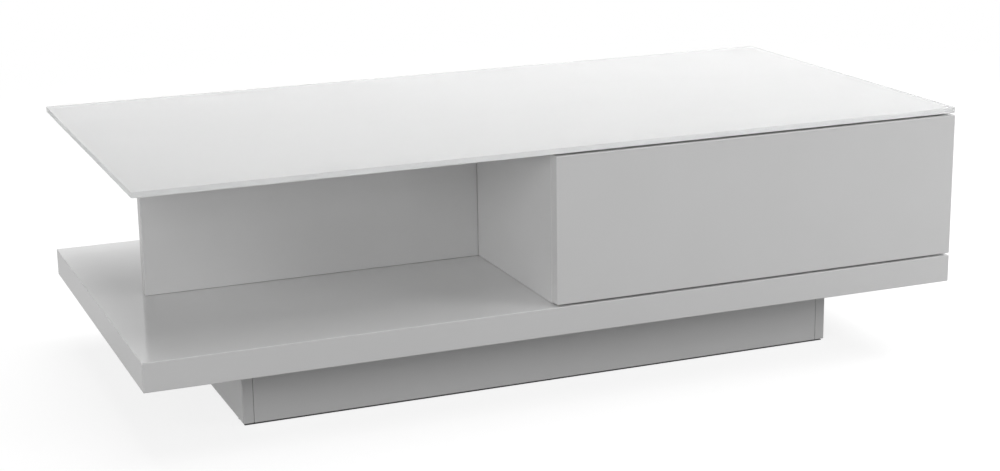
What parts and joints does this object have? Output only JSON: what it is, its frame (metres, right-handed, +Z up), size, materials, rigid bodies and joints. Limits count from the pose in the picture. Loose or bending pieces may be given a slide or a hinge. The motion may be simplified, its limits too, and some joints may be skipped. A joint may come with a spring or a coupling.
{
  "type": "coffee table",
  "caption": "Low rectangular table: thin glass top over a middle panel and a drawer cabinet, open shelf around them, recessed plinth, handle-less drawer.",
  "frame": {"origin": "on the floor, under the middle of the table", "axes": "+Z up, +X along the table towards the drawer cabinet, the drawer front faces -Y"},
  "size_m": [1.2, 0.6, 0.36],
  "materials": {
    "white_gloss_lacquer": "high-gloss white lacquer on fibreboard",
    "white_glass": "tempered clear glass, painted white on its underside, ground edge",
    "white_melamine": "matt white melamine on board",
    "white_hardboard": "white-faced hardboard",
    "pine": "planed softwood, unfinished",
    "zinc_plated_steel": "bright zinc-plated steel",
    "grey_acetal": "moulded grey acetal",
    "clear_elastomer": "clear bonding elastomer",
    "black_polyethylene": "black moulded glide"
  },
  "bodies": {
    "root": {"glass_top": "white_glass", "cabinet_pad_1": "clear_elastomer", "cabinet_pad_2": "clear_elastomer", "cabinet_pad_3": "clear_elastomer", "cabinet_pad_4": "clear_elastomer", "spine_pad_1": "clear_elastomer", "spine_pad_2": "clear_elastomer", "spine_pad_3": "clear_elastomer", "base_shelf": "white_gloss_lacquer", "middle_panel": "white_gloss_lacquer", "cabinet_side_left": "white_gloss_lacquer", "cabinet_side_right": "white_gloss_lacquer", "cabinet_back": "white_gloss_lacquer", "cabinet_top": "white_gloss_lacquer", "plinth_front": "white_gloss_lacquer", "plinth_back": "white_gloss_lacquer", "plinth_side_left": "white_gloss_lacquer", "plinth_side_right": "white_gloss_lacquer", "plinth_brace": "pine", "plinth_block_1": "pine", "plinth_block_2": "pine", "plinth_block_3": "pine", "plinth_block_4": "pine", "glide_1": "black_polyethylene", "glide_2": "black_polyethylene", "glide_3": "black_polyethylene", "glide_4": "black_polyethylene", "glide_5": "black_polyethylene", "glide_6": "black_polyethylene", "outer_rail_left": "zinc_plated_steel", "outer_rail_right": "zinc_plated_steel", "latch_housing_left": "grey_acetal", "latch_housing_right": "grey_acetal", "latch_spring_left": "zinc_plated_steel", "latch_spring_right": "zinc_plated_steel"},
    "drawer": {"drawer_front": "white_gloss_lacquer", "drawer_box_front": "white_melamine", "drawer_box_back": "white_melamine", "drawer_side_left": "white_melamine", "drawer_side_right": "white_melamine", "drawer_bottom": "white_hardboard", "front_screw_1": "zinc_plated_steel", "front_screw_2": "zinc_plated_steel", "front_screw_3": "zinc_plated_steel", "front_screw_4": "zinc_plated_steel", "inner_rail_left": "zinc_plated_steel", "inner_rail_right": "zinc_plated_steel", "strike_plate_left": "zinc_plated_steel", "strike_plate_right": "zinc_plated_steel"},
    "middle_rails": {"middle_rail_left": "zinc_plated_steel", "middle_rail_right": "zinc_plated_steel"},
    "outer_ball_cages": {"outer_ball_cage_left": "zinc_plated_steel", "outer_ball_cage_right": "zinc_plated_steel"},
    "inner_ball_cages": {"inner_ball_cage_left": "zinc_plated_steel", "inner_ball_cage_right": "zinc_plated_steel"},
    "latch_plunger_left": {"latch_plunger_left": "grey_acetal"},
    "latch_plunger_right": {"latch_plunger_right": "grey_acetal"}
  },
  "joints": [
    {"name": "drawer_slide", "type": "slide", "parent": "root", "child": "drawer", "axis": [0, -1, 0], "range_m": [0, 0.5]},
    {"name": "middle_rails_slide", "type": "slide", "parent": "root", "child": "middle_rails", "axis": [0, -1, 0], "range_m": [0, 0.25]},
    {"name": "outer_ball_cages_roll", "type": "slide", "parent": "root", "child": "outer_ball_cages", "axis": [0, -1, 0], "range_m": [0, 0.125]},
    {"name": "inner_ball_cages_roll", "type": "slide", "parent": "middle_rails", "child": "inner_ball_cages", "axis": [0, -1, 0], "range_m": [0, 0.125]},
    {"name": "latch_left_press", "type": "slide", "parent": "root", "child": "latch_plunger_left", "axis": [0, 1, 0], "range_m": [0, 0.0012], "stiffness_N_per_m": 200, "deforming": ["latch_spring_left"]},
    {"name": "latch_right_press", "type": "slide", "parent": "root", "child": "latch_plunger_right", "axis": [0, 1, 0], "range_m": [0, 0.0012], "stiffness_N_per_m": 200, "deforming": ["latch_spring_right"]}
  ],
  "couplings": [
    {"joint": "middle_rails_slide", "follows": "drawer_slide", "ratio": 0.5},
    {"joint": "outer_ball_cages_roll", "follows": "drawer_slide", "ratio": 0.25},
    {"joint": "inner_ball_cages_roll", "follows": "drawer_slide", "ratio": 0.25}
  ]
}
